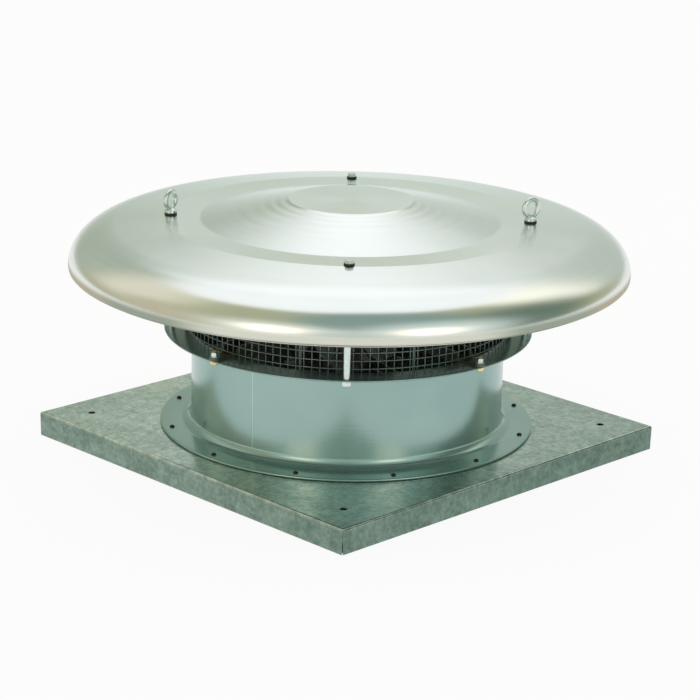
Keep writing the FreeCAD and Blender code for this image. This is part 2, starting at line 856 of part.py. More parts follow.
def hub_upper():
    """Upper clamp half with the boss that sits on the motor shaft."""
    bore = shaft_stub_diameter / 2 + running_gap / 2
    boss_top = arm_top - spigot_depth - boss_gap
    half = spin_outline([
        (bore, stub_end),
        (boss_radius, stub_end),
        (boss_radius, impeller_level),
        (hub_radius, impeller_level),
        (hub_radius, impeller_level + hub_half_height),
        (boss_radius, impeller_level + hub_half_height),
        (boss_radius, boss_top),
        (bore, boss_top),
    ])
    return half.cut(Part.makeCompound(clamp_cutters() + [key_slot(seat_gap)]))


def hub_lower():
    """Lower clamp half, a plain ring with the opening that gives access to the shaft screw."""
    half = ring(hub_opening_radius, hub_radius, impeller_level - hub_half_height, impeller_level - seat_gap)
    return half.cut(Part.makeCompound(clamp_cutters()))


def clamp_screws():
    """Screws through both hub halves, hexagon heads below."""
    low = impeller_level - hub_half_height
    screw = hex_prism(clamp_head_flats, low - clamp_head_height, low)
    screw = screw.fuse(peg(clamp_screw_diameter / 2, low, impeller_level + hub_half_height))
    return around(placed(screw, clamp_screw_reach), blade_count, 180.0 / blade_count)


def retaining_screw():
    """Shaft end screw with its thick washer, which keeps the boss on the shaft."""
    washer_low = stub_end - retaining_washer_thickness
    screw = hex_prism(clamp_head_flats, washer_low - clamp_head_height, washer_low)
    disc = prism(round_sides, boss_radius - shield_wall, washer_low, stub_end)
    return screw.fuse([disc, peg(clamp_screw_diameter / 2, stub_end, stub_end + retaining_reach)])


def hub_cap():
    """Shallow spun cap pressed into the lower opening."""
    seat = impeller_level - hub_half_height
    spigot = hub_opening_radius - running_gap
    reach = clamp_screw_reach - clamp_screw_diameter
    low = seat - hub_cap_depth
    return spin_outline([
        (0, low),
        (hub_cap_face_radius, low),
        (reach, seat),
        (spigot, seat),
        (spigot, seat + spigot_depth),
        (0, seat + spigot_depth),
    ])


def blade_section(radius):
    """Aerofoil outline at one radius: parabolic camber, nose low and forward, thin tail high."""
    share = (radius - blade_start) / (tip_radius - blade_start)
    chord = blade_root_chord + (blade_tip_chord - blade_root_chord) * share
    thickness = blade_root_thickness + (blade_tip_thickness - blade_root_thickness) * share
    pitch = math.atan(blade_lead / (2 * math.pi * radius))
    axis_camber = 4 * blade_camber * chord * blade_axis_share * (1 - blade_axis_share)

    def place(x, offset):
        ahead = (blade_axis_share - x) * chord
        below = 4 * blade_camber * chord * x * (1 - x) - axis_camber + offset
        forward = ahead * math.cos(pitch) - below * math.sin(pitch)
        rise = -ahead * math.sin(pitch) - below * math.cos(pitch)
        return FreeCAD.Vector(radius, forward, impeller_level + rise)

    stations = [0.5 * (1 - math.cos(math.pi * k / blade_chords)) for k in range(blade_chords + 1)]
    # the thickness form sqrt(x) (1 - x) peaks at 0.385, one third of the way back
    half = [thickness / 2 * math.sqrt(x) * (1 - x) / 0.385 + blade_edge_thickness / 2 * x for x in stations]
    upper = [place(x, h) for x, h in zip(stations, half)]
    lower = [place(x, -h) for x, h in zip(stations, half)]
    outline = upper[::-1] + lower[1:]
    return Part.makePolygon(outline + outline[:1])


def blade():
    """Twisted aerofoil blade on its round root, all in one casting."""
    first = blade_start - blade_trim
    last = tip_radius + blade_trim
    radii = [first + (last - first) * k / blade_spans for k in range(blade_spans + 1)]
    aerofoil = Part.makeLoft([blade_section(radius) for radius in radii], True, True)
    low = impeller_level - blade_root_chord
    high = impeller_level + blade_root_chord
    aerofoil = aerofoil.common(rod(tip_radius, low, high)).cut(rod(blade_start, low, high))
    fairing = taper(round_sides, blade_shank_radius, fairing_tip_radius, blade_start, blade_start + fairing_length)
    return aerofoil.fuse([blade_root(0.0), lying(fairing, impeller_level)])


os.makedirs("parts", exist_ok=True)
nut_low = flange_underside - washer_thickness - nut_height
save("base_plate", [base_plate()])
save("casing", [casing()])
save("foot_gasket", [foot_gasket()])
save("flange_rivets", flange_rivets())
save("cowl_posts", cowl_posts())
save("post_washers", flat_washers(post_first_angle, flange_underside - washer_thickness))
save("post_nuts", bolt_nuts(post_first_angle, nut_low))
save("arm_bolts", arm_bolts())
save("arm_washers", flat_washers(arm_first_angle, arm_top))
save("arm_nuts", bolt_nuts(arm_first_angle, arm_top + washer_thickness))
save("motor_arms", motor_arms())
save("guard_uprights", guard_uprights())
save("guard_hoops", guard_hoops())
save("cowl", [cowl()])
save("cowl_washers", cowl_washers())
save("eye_bolts", eye_bolts())
save("cowl_bolts", cowl_bolts())
save("drive_end_shield", [drive_end_shield()])
save("motor_housing", [motor_housing()])
save("rear_end_shield", [rear_end_shield()])
save("tie_screws", tie_screws())
save("stator_core", [stator_core()])
save("stator_windings", stator_windings())
save("motor_bearings", motor_bearings())
save("motor_bolts", motor_bolts())
save("motor_nuts", motor_nuts())
save("terminal_box", [terminal_box()])
save("terminal_lid", [terminal_lid()])
save("terminal_screws", terminal_screws())
save("cable_gland", [cable_gland()])
save("motor_shaft", [motor_shaft()])
save("rotor_core", [rotor_core()])
save("shaft_key", [shaft_key()])
save("hub_upper", [hub_upper()])
save("hub_lower", [hub_lower()])
save("clamp_screws", clamp_screws())
save("retaining_screw", [retaining_screw()])
save("hub_cap", [hub_cap()])
save("impeller_blades", around(blade(), blade_count))
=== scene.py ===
import math

import bmesh
import bpy
from mathutils import Matrix, Vector


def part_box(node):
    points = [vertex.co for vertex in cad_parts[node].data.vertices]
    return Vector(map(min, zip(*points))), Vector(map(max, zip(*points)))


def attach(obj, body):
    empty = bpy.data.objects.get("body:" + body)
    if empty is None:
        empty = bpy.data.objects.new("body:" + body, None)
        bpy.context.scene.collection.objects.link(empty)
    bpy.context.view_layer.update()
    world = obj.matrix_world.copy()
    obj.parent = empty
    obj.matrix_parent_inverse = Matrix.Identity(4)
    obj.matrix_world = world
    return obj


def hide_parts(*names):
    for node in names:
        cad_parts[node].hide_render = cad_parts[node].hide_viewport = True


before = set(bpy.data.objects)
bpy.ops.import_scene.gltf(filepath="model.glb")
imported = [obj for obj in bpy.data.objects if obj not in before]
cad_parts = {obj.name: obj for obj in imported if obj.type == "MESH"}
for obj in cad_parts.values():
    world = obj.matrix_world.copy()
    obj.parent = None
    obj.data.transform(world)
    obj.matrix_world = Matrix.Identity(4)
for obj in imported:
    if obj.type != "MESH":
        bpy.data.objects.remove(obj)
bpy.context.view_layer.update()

scene = bpy.context.scene
scene.view_settings.view_transform = "Standard"


# Camera. It stands in front of the plate's near corner, a little above the cowl, and is tilted
# sideways by the same small angle as the photograph.
view_azimuth = math.radians(45.02)
view_elevation = math.radians(17.04)
view_roll = math.radians(1.32)
camera_place = Vector((2.66044, -2.65303, 1.30927))
lens = 124.19

away = Vector((math.sin(view_azimuth) * math.cos(view_elevation),
               -math.cos(view_azimuth) * math.cos(view_elevation), math.sin(view_elevation)))
level_right = Vector((math.cos(view_azimuth), math.sin(view_azimuth), 0.0))
level_up = away.cross(level_right)
picture_right = level_right * math.cos(view_roll) + level_up * math.sin(view_roll)
picture_up = level_up * math.cos(view_roll) - level_right * math.sin(view_roll)
camera = bpy.data.objects.new("camera", bpy.data.cameras.new("camera"))
camera.data.lens = lens
camera.data.sensor_width = 36.0
camera.data.clip_end = 50.0
camera.matrix_world = Matrix.Translation(camera_place) @ Matrix(
    (picture_right, picture_up, away)).transposed().to_4x4()
scene.collection.objects.link(camera)
scene.camera = camera


# Studio. A broad soft light reaches from behind the fan to overhead. The ceiling in front is unlit, with
# two pale reflectors below it, the walls are a little warm, and the floor is white.
class Shade:
    """An output socket of a node tree. Sums, differences and products of shades add Math nodes to it."""

    def __init__(self, tree, socket=None):
        self.tree = tree
        self.socket = socket

    def node(self, kind, settings, inputs, output=0):
        """Adds a node, sets it up, fills or links its inputs and gives one of its outputs."""
        made = self.tree.nodes.new("ShaderNode" + kind)
        for name, value in settings.items():
            setattr(made, name, value)
        for name, value in inputs.items():
            if isinstance(value, Shade):
                self.tree.links.new(value.socket, made.inputs[name])
            else:
                made.inputs[name].default_value = value
        return Shade(self.tree, made.outputs[output] if made.outputs else None)

    def math(self, operation, *values):
        return self.node("Math", {"operation": operation}, dict(enumerate(values)))

    def vector(self, operation, other, output="Vector"):
        return self.node("VectorMath", {"operation": operation}, {0: self, 1: other}, output)

    def scaled(self, factor):
        """This vector times a number."""
        return self.node("VectorMath", {"operation": "SCALE"}, {0: self, "Scale": factor}, "Vector")

    def split(self):
        return [self.node("SeparateXYZ", {}, {"Vector": self}, axis) for axis in "XYZ"]

    def step(self, low, high):
        """0 below low, 1 above high, eased between them."""
        return self.node("MapRange", {"interpolation_type": "SMOOTHSTEP"},
                         {"Value": self, "From Min": low, "From Max": high}, "Result")

    def mix(self, first, second, blend="MIX"):
        """Colour between first and second, with this value as the factor."""
        ends = [value if isinstance(value, Shade) else (*value, 1.0) for value in (first, second)]
        return self.node("Mix", {"data_type": "RGBA", "blend_type": blend},
                         {0: self, 6: ends[0], 7: ends[1]}, 2)

    def __add__(self, other):
        return self.math("ADD", self, other)

    def __radd__(self, other):
        return self.math("ADD", other, self)

    def __sub__(self, other):
        return self.math("SUBTRACT", self, other)

    def __rsub__(self, other):
        return self.math("SUBTRACT", other, self)

    def __mul__(self, other):
        return self.math("MULTIPLY", self, other)

    def __rmul__(self, other):
        return self.math("MULTIPLY", other, self)


def room_direction(azimuth, elevation):
    """Unit vector to a place in the room: azimuth 0 is behind the camera, 90 to its right."""
    turn = view_azimuth + math.radians(azimuth)
    rise = math.radians(elevation)
    return Vector((math.sin(turn) * math.cos(rise), -math.cos(turn) * math.cos(rise), math.sin(rise)))


sky = bpy.data.worlds.new("studio_room")
scene.world = sky
sky.use_nodes = True
sky.node_tree.nodes.clear()
direction = Shade(sky.node_tree).node("TexCoord", {}, {}, "Generated")


def room_patch(azimuth, elevation, inner, outer):
    """1 within the inner angle of a place in the room, 0 beyond the outer one."""
    nearness = direction.vector("DOT_PRODUCT", room_direction(azimuth, elevation), "Value")
    return nearness.step(math.cos(math.radians(outer)), math.cos(math.radians(inner)))


room_grey = (0.48, 0.48, 0.32)
# Azimuth and elevation of each part of the room, the angles where it starts to fade and ends, its light.
patches = [(-112, 34, 9, 33, (0.88, 0.82, 0.68)),  # warm wall to the left
           (132, 41, 14, 32, (1.30, 1.25, 1.10)),  # warm wall to the right
           (186, 75, 27, 34, (1.14, 1.15, 1.18)),  # ceiling light
           (181, 41, 18, 22, (1.20, 1.22, 1.24)),  # lamp behind
           (18, 48, 24, 34, (0.26, 0.36, 0.34)),  # unlit ceiling in front
           (80, 21, 7, 40, (0.14, 0.20, 0.16)),  # dark curtain to the right
           (-31, 12, 8, 35, (0.84, 0.92, 0.86)),  # reflector in front, left
           (37, 15, 5, 41, (0.76, 0.86, 0.84)),  # reflector in front, right
           (178, -6, 5, 33, (0.69, 0.78, 0.73)),  # back wall
           (-31, 17, 5, 15, (2.40, 1.85, 1.55)),  # warm lamp in the left reflector
           (33, 17, 5, 15, (2.40, 1.90, 1.65)),  # warm lamp in the right reflector
           (0, 8, 4, 22, (0.60, 0.69, 0.64)),  # gap between the reflectors
           (-80, 10, 8, 30, (0.60, 0.54, 0.40)),  # dull corner to the left
           (-150, 20, 10, 30, (0.43, 0.49, 0.41)),  # back corner, left
           (150, 20, 10, 30, (0.55, 0.60, 0.55))]  # back corner, right
room = None
for azimuth, elevation, inner, outer, colour in patches:
    room = room_patch(azimuth, elevation, inner, outer).mix(room or room_grey, colour)
light = room.node("Background", {}, {"Color": room, "Strength": 1.0})
room.node("OutputWorld", {}, {"Surface": light})

floor_half = 30.0
floor_white = (0.82, 0.82, 0.82)
floor_mesh = bpy.data.meshes.new("floor")
floor_mesh.from_pydata([(-floor_half, -floor_half, 0), (floor_half, -floor_half, 0),
                        (floor_half, floor_half, 0), (-floor_half, floor_half, 0)], [], [(0, 1, 2, 3)])
floor = bpy.data.objects.new("floor", floor_mesh)
scene.collection.objects.link(floor)
floor_paint = bpy.data.materials.new("floor_white")
floor_paint.use_nodes = True
floor_paint.node_tree.nodes.clear()
start = Shade(floor_paint.node_tree)
path = start.node("LightPath", {}, {}, "Is Camera Ray")
seen = path.math("MAXIMUM", path, start.node("LightPath", {}, {}, "Is Glossy Ray"))
seen = seen.math("MAXIMUM", seen, start.node("LightPath", {}, {}, "Is Transmission Ray"))
across, along, _ = start.node("TexCoord", {}, {}, "Object").split()
farther = start.math("MAXIMUM", start.math("ABSOLUTE", across), start.math("ABSOLUTE", along))
covered_half = 0.345
plate_edge = 0.355
beside = farther.step(covered_half, plate_edge)
matt = start.node("BsdfDiffuse", {}, {"Color": (*floor_white, 1.0)})
white = start.node("Emission", {}, {"Color": (1.0, 1.0, 1.0, 1.0), "Strength": 1.0})
floor_share = 0.93
surface = start.node("MixShader", {}, {0: seen * beside * floor_share, 1: matt, 2: white})
surface.node("OutputMaterial", {}, {"Surface": surface})
floor_mesh.materials.append(floor_paint)

lamp_way = room_direction(180, 75)
lamp_distance = 3.0
lamp_size = 3.0
lamp_power = 8.0
fan_middle = Vector((0, 0, 0.25))
lamp = bpy.data.objects.new("soft_top", bpy.data.lights.new("soft_top", "AREA"))
lamp.data.size = lamp_size
lamp.data.energy = lamp_power
lamp.location = lamp_way * lamp_distance + fan_middle
lamp.rotation_euler = lamp_way.to_track_quat("Z", "Y").to_euler()
lamp.visible_glossy = False
scene.collection.objects.link(lamp)


# Base plate. Hot-dip galvanised sheet, 2 mm thick, cut square, with its rims folded down and the
# corners left open. Its zinc is mottled, with dull clouds and a few warm stains.
def spot(radius, angle):
    return Vector((radius * math.cos(angle), radius * math.sin(angle), 0.0))


def add_piece(name, bm, material, node, crease=35.0, body="fan_frame"):
    """Puts a bmesh in the scene in place of its CAD node, sharp at edges that turn by more than crease."""
    bmesh.ops.remove_doubles(bm, verts=bm.verts, dist=1e-6)
    bmesh.ops.recalc_face_normals(bm, faces=bm.faces)
    for face in bm.faces:
        face.smooth = True
    for edge in bm.edges:
        edge.smooth = edge.calc_face_angle(0.0) < math.radians(crease)
    mesh = bpy.data.meshes.new(name)
    bm.to_mesh(mesh)
    bm.free()
    mesh.materials.append(material)
    piece = bpy.data.objects.new(name, mesh)
    scene.collection.objects.link(piece)
    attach(piece, body)
    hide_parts(node)


def new_surface(name):
    """A material with one Principled shader: returns it, the shader node and a Shade to start from."""
    material = bpy.data.materials.new(name)
    material.use_nodes = True
    tree = material.node_tree
    shader = tree.nodes["Principled BSDF"]
    return material, shader, Shade(tree)


def feed(shader, **sockets):
    """Sets sockets of a shader; in their names _ stands for a space."""
    for name, value in sockets.items():
        socket = shader.inputs[name.replace("_", " ")]
        if isinstance(value, Shade):
            value.tree.links.new(value.socket, socket)
        else:
            socket.default_value = (*value, 1.0) if isinstance(value, tuple) else value


def noise(start, place, scale, detail, roughness):
    """Noise value at a place, about the scale's number of patches to the metre."""
    return start.node("TexNoise", {},
                      {"Vector": place, "Scale": scale, "Detail": detail, "Roughness": roughness}, "Fac")


def bump(start, height, depth):
    return start.node("Bump", {}, {"Height": height, "Strength": 1.0, "Distance": depth}, "Normal")


plate_low, plate_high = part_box("base_plate")
plate_half = plate_high.x
plate_top = plate_high.z
sheet = 0.002
fold_radius = 0.004
corner_gap = 0.0012
fixing_spot = 0.295
fixing_radius = 0.006
inlet_radius = 0.25085
zinc_dark = (0.28, 0.385, 0.345)
zinc_light = (0.76, 0.86, 0.80)
zinc_stain = (0.62, 0.63, 0.48)
rim_painted_shade = (0.44, 0.52, 0.47)
right_painted_shade = (0.76, 0.80, 0.79)


def galvanised():
    """Zinc coat: fine spangle and mottling, dull clouds and a few stains; rims rougher and darkened as
    painted shade, and the plate darkened as painted shade toward its corner on the camera's right.
    """
    material, shader, start = new_surface("galvanised_sheet")
    place = start.node("TexCoord", {}, {}, "Object")
    across, along, height = place.split()
    wander = start.node("TexNoise", {}, {"Vector": place, "Scale": 120.0, "Detail": 2.0}, "Color")
    bent = place.vector("ADD", wander.scaled(0.008))
    cells = start.node("TexVoronoi", {}, {"Vector": bent, "Scale": 190.0, "Randomness": 1.0}, "Color")
    spangle = cells.split()[0]
    clouds = noise(start, place, scale=12.0, detail=6.0, roughness=0.68)
    mottle = noise(start, place, scale=140.0, detail=4.0, roughness=0.62)
    smears = noise(start, place, scale=48.0, detail=4.0, roughness=0.6)
    tone = clouds.step(0.34, 0.68) * 0.26 + mottle.step(0.36, 0.66) * 0.36 + smears.step(0.35, 0.68) * 0.20
    tone = tone + spangle * 0.18
    colour = tone.mix(zinc_dark, zinc_light)
    stain = noise(start, place, scale=6.0, detail=4.0, roughness=0.6).step(0.54, 0.70) * 0.40
    colour = stain.mix(colour, zinc_stain)
    # The rims are darkened as painted shade, and made rougher.
    rim = (plate_top - height).step(0.001, 0.005)
    colour = rim.mix(colour, rim_painted_shade, "MULTIPLY")
    # Painted shade: the plate grows darker toward its corner on the camera's right.
    side = (across + along).step(-0.65, 0.65)
    colour = side.mix(colour, right_painted_shade, "MULTIPLY")
    feed(shader, Base_Color=colour, Metallic=0.85,
         Roughness=0.09 + spangle * 0.06 + (1 - clouds) * 0.10 + rim * 0.22,
         Normal=bump(start, spangle * 0.3 + mottle * 0.4 + smears * 0.3, 0.00022))
    return material


def plate_mesh():
    """Four rims swept down over the fold. They meet on the mitre along the fold and stand apart below."""
    bm = bmesh.new()
    flat = plate_half - fold_radius
    steps = 6
    outer, inner = [], []
    for row, radius in ((outer, fold_radius), (inner, fold_radius - sheet)):
        for k in range(steps + 1):
            turn = math.pi / 2 * k / steps
            row.append((flat + radius * math.sin(turn), plate_top - fold_radius + radius * math.cos(turn)))
    outer.append((plate_half, plate_low.z))
    inner.append((plate_half - sheet, plate_low.z))
    for side in range(4):
        turn = Matrix.Rotation(math.pi / 2 * side, 4, "Z")
        ends = []
        for end in (-1, 1):
            skins = []
            for row in (outer, inner):
                gaps = [0.0] * (steps + 1) + [corner_gap]
                places = [Vector((r, end * (r - gap), z)) for (r, z), gap in zip(row, gaps)]
                skins.append([bm.verts.new(turn @ place) for place in places])
            ends.append(skins)
        for k in range(steps + 1):
            (out0, in0), (out1, in1) = ends
            bm.faces.new((out0[k], out0[k + 1], out1[k + 1], out1[k]))
            bm.faces.new((in0[k], in1[k], in1[k + 1], in0[k + 1]))
        bm.faces.new((out0[-1], in0[-1], in1[-1], out1[-1]))
        bm.faces.new((out0[-2], in0[-2], in0[-1], out0[-1]))
        bm.faces.new((out1[-2], out1[-1], in1[-1], in1[-2]))
    return bm, flat


def ring_points(centre, radius, steps, level):
    return [Vector((centre[0] + radius * math.cos(2 * math.pi * k / steps),
                    centre[1] + radius * math.sin(2 * math.pi * k / steps), level)) for k in range(steps)]


def holed_square(bm, half, level, holes, thickness):
    """Two square faces, one above the other, joined by the walls of their round holes."""
    lids = []
    for height in (level, level - thickness):
        edges = []
        loops = [[Vector((-half, -half, height)), Vector((half, -half, height)),
                  Vector((half, half, height)), Vector((-half, half, height))]]
        loops += [ring_points(centre, radius, steps, height) for centre, radius, steps in holes]
        rings = []
        for points in loops:
            verts = [bm.verts.new(co) for co in points]
            rings.append(verts)
            for k, vert in enumerate(verts):
                edges.append(bm.edges.new((vert, verts[(k + 1) % len(verts)])))
        bmesh.ops.triangle_fill(bm, use_beauty=True, use_dissolve=False, edges=edges)
        lids.append(rings)
    for upper, lower in zip(lids[0][1:], lids[1][1:]):
        for k in range(len(upper)):
            after = (k + 1) % len(upper)
            bm.faces.new((upper[k], upper[after], lower[after], lower[k]))


bm, flat = plate_mesh()
spots = [(x, y) for x in (-fixing_spot, fixing_spot) for y in (-fixing_spot, fixing_spot)]
holes = [((0, 0), inlet_radius, 96)] + [(place, fixing_radius, 32) for place in spots]
holed_square(bm, flat, plate_top, holes, sheet)
zinc = galvanised()
add_piece("folded_plate", bm, zinc, "base_plate", crease=30.0)


# Casing. Sheet drum, 2.5 mm thick, rolled round and closed by one upright weld; both ends are beaded
# out into flanges whose edges are slightly rolled. Satin grey-green paint.
def arc(centre, radius, start, end, steps):
    """Points (r, z) on an arc between two angles in degrees."""
    turns = [math.radians(start + (end - start) * k / steps) for k in range(steps + 1)]
    return [(centre[0] + radius * math.cos(turn), centre[1] + radius * math.sin(turn)) for turn in turns]


def lathe(profile, segments, closed=True):
    """Bmesh of a profile of (r, z) points turned once round the Z axis."""
    bm = bmesh.new()
    columns = []
    for k in range(segments):
        turn = 2 * math.pi * k / segments
        columns.append([bm.verts.new((r * math.cos(turn), r * math.sin(turn), z)) for r, z in profile])
    count = len(profile)
    for k in range(segments):
        here, after = columns[k], columns[(k + 1) % segments]
        for row in range(count if closed else count - 1):
            below = (row + 1) % count
            corners = [here[row], here[below], after[below], after[row]]
            kept = []
            for vert in corners:
                if all((vert.co - other.co).length > 1e-7 for other in kept):
                    kept.append(vert)
            if len(kept) > 2:
                bm.faces.new(kept)
    return bm


def line_noise(start, along, scale, detail):
    """Noise that varies along one value only, so that it draws parallel lines."""
    return start.node("TexNoise", {"noise_dimensions": "1D"},
                      {"W": along, "Scale": scale, "Detail": detail}, "Fac")


paint_dark = (0.30, 0.45, 0.425)
paint_light = (0.355, 0.51, 0.475)


def casing_paint(name, lift):
    """Satin paint with broad soft tone changes, fine dust and faint drawing lines, lighter by lift."""
    material, shader, start = new_surface(name)
    place = start.node("TexCoord", {}, {}, "Object")
    height = place.split()[2]
    clouds = noise(start, place, scale=5.0, detail=4.0, roughness=0.5)
    dust = noise(start, place, scale=240.0, detail=3.0, roughness=0.6)
    lines = line_noise(start, height, scale=320.0, detail=2.0)
    darker = tuple(value * lift for value in paint_dark)
    lighter = tuple(value * lift for value in paint_light)
    colour = clouds.step(0.3, 0.7).mix(darker, lighter)
    feed(shader, Base_Color=colour, Metallic=0.75, Roughness=0.155 + clouds * 0.05 + dust * 0.04,
         Normal=bump(start, dust * 0.6 + lines * 0.4, 0.00008))
    return material


casing_low, casing_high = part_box("casing")
drum_radius = 0.25335
drum_wall = 0.0025
foot_edge = casing_high.x
foot_top = casing_low.z + drum_wall
foot_bend = 0.016
rim_edge = 0.2978
rim_top = casing_high.z
rim_under = rim_top - drum_wall
rim_bend = 0.006
edge_radius = drum_wall / 2
roll_radius = 0.0021
roll_centre = (foot_edge - roll_radius, foot_top - roll_radius)
profile = [(foot_edge - 2 * roll_radius, casing_low.z)] + arc(roll_centre, roll_radius, -150, 90, 14)
profile += arc((drum_radius + foot_bend, foot_top + foot_bend), foot_bend, 270, 180, 12)
profile += arc((drum_radius + rim_bend, rim_under - rim_bend), rim_bend, 180, 90, 8)
profile += arc((rim_edge - edge_radius, rim_top - edge_radius), edge_radius, -90, 90, 8)
profile += arc((drum_radius + rim_bend, rim_under - rim_bend), rim_bend + drum_wall, 90, 180, 8)
profile += arc((drum_radius + foot_bend, foot_top + foot_bend), foot_bend + drum_wall, 180, 270, 12)
drum = lathe(profile, segments=192)
drum_paint = casing_paint("casing_paint", 1.0)
add_piece("drum_and_flanges", drum, drum_paint, "casing", crease=50.0)
seam_angle = math.radians(-80.0)
seam_half = 0.0013
seam_depth = 0.0004
seam_foot = 0.0001
seam_rise = 0.0004
seam_ripple = 0.25
seam_lift_and_highlight = 1.22
seam_low = foot_top + foot_bend * 0.7
seam_high = rim_under - rim_bend
seam_rows = 60
crown = [(across, seam_foot + seam_rise * (1 - across * across)) for across in (-1, -0.5, 0, 0.5, 1)]
section = [(-1, -seam_depth)] + crown + [(1, -seam_depth)]
seam = bmesh.new()
rows = []
for k in range(seam_rows + 1):
    level = seam_low + (seam_high - seam_low) * k / seam_rows
    row = []
    for across, bulge in section:
        ripple = 1 + seam_ripple * math.sin(k * 2.3) if bulge > 0 else 1.0
        place = spot(drum_radius + bulge * ripple, seam_angle + across * seam_half / drum_radius)
        row.append(seam.verts.new((place.x, place.y, level)))
    rows.append(row)
for lower, upper in zip(rows, rows[1:]):
    for j in range(len(lower)):
        after = (j + 1) % len(lower)
        seam.faces.new((lower[j], lower[after], upper[after], upper[j]))
seam.faces.new(rows[0])
seam.faces.new(rows[-1])
# The weld's paint is the casing paint lifted lighter: partly a barer, lighter weld line and partly a painted
# highlight along the bead.
seam_paint_and_highlight = casing_paint("weld_paint_and_highlight", seam_lift_and_highlight)
add_piece("seam_weld", seam, seam_paint_and_highlight, "casing", crease=50.0)


# Foot seal. Flat ring cut from black rubber sheet, laid on the plate before the casing. The rivets squeeze
# it a little, so that its outer edge bulges.
def plain_surface(name, colour, metallic, roughness, grain=300.0, spread=0.12, depth=0.00004):
    """Finish of a small part: tone and gloss vary a little, with a fine grain."""
    material, shader, start = new_surface(name)
    place = start.node("TexCoord", {}, {}, "Object")
    fine = noise(start, place, scale=grain, detail=3.0, roughness=0.6)
    broad = noise(start, place, scale=grain * 0.12, detail=3.0, roughness=0.5)
    dark = tuple(value * (1 - spread * 2) for value in colour)
    light = tuple(min(1.0, value * (1 + spread)) for value in colour)
    feed(shader, Base_Color=(fine * 0.45 + broad * 0.55).step(0.3, 0.7).mix(dark, light), Metallic=metallic,
         Roughness=roughness + fine * 0.12 - 0.06, Normal=bump(start, fine * 0.6 + broad * 0.4, depth))
    return material


seal_thick = casing_low.z - plate_top
seal_inner = drum_radius + foot_bend
seal_outer = foot_edge - 2 * roll_radius
seal_bulge = arc((seal_outer - seal_thick / 2, plate_top + seal_thick / 2), seal_thick / 2, -90, 90, 8)
seal = lathe([(seal_inner, plate_top)] + seal_bulge + [(seal_inner, casing_low.z)], segments=192)
rubber = plain_surface("seal_rubber", (0.022, 0.023, 0.023), metallic=0.0, roughness=0.62, grain=350.0,
                       spread=0.25, depth=0.00008)
add_piece("flange_seal", seal, rubber, "foot_gasket", crease=40.0)


# Foot flange rivets. Black oxidised steel, domed heads with the dimple that the pulled mandrel leaves,
# and a short upset tail under the plate.
def copies(bm, places):
    """One bmesh with a copy of the given one at each place."""
    pattern = bpy.data.meshes.new("pattern")
    bm.to_mesh(pattern)
    bm.free()
    many = bmesh.new()
    for place in places:
        start = len(many.verts)
        many.from_mesh(pattern)
        many.verts.ensure_lookup_table()
        bmesh.ops.transform(many, matrix=place, verts=many.verts[start:])
    bpy.data.meshes.remove(pattern)
    return many


def circle_places(radius, count, first=0.0):
    out = Matrix.Translation((radius, 0, 0))
    return [Matrix.Rotation(math.radians(first + 360.0 * k / count), 4, "Z") @ out for k in range(count)]


rivet_reach = 0.2896
rivet_head = 0.004
rivet_height = 0.003
rivet_tail = 0.0036
rivet_shank = 0.0024
tail_height = 0.0022
tail_round = 0.0007
dimple_floor = 0.0008
dimple_radius = 0.0011
dimple_depth = 0.0005
head_edge = 0.0004
plate_under = plate_top - sheet
head_top = foot_top + rivet_height
dome = [(0.0, head_top - dimple_depth), (dimple_floor, head_top - dimple_depth), (dimple_radius, head_top)]
for k in range(1, 7):
    turn = math.pi / 2 * k / 6
    dome.append((dimple_radius + (rivet_head - dimple_radius) * math.sin(turn),
                 foot_top + head_edge + (rivet_height - head_edge) * math.cos(turn)))
dome += [(rivet_head, foot_top), (rivet_shank, foot_top), (rivet_shank, plate_under)]
dome += [(rivet_tail, plate_under), (rivet_tail, plate_under - tail_height + tail_round),
         (rivet_tail - tail_round, plate_under - tail_height), (0.0, plate_under - tail_height)]
rivets = copies(lathe(dome, segments=24), circle_places(rivet_reach, 12))
black = plain_surface("black_oxide", (0.018, 0.020, 0.020), metallic=0.3, roughness=0.50)
add_piece("blind_rivets", rivets, black, "flange_rivets", crease=40.0)


# Arm bolts. Yellow passivated hexagon bolts, pushed up from below through the casing's top flange and the
# arm, each held by a bright washer and nut.
def threaded(radius, low, high, pitch):
    """Profile of a thread going up: a chamfer, then one ridge for each turn."""
    ridge_height = 0.58 * pitch
    root = radius - ridge_height
    count = int((high - low) / pitch)
    points = [(root * 0.9, low)]
    for k in range(count):
        base = low + (high - low) * k / count
        rise = (high - low) / count
        points += [(root, base + 0.25 * rise), (radius, base + 0.55 * rise), (radius, base + 0.7 * rise)]
    return points + [(root, high)]


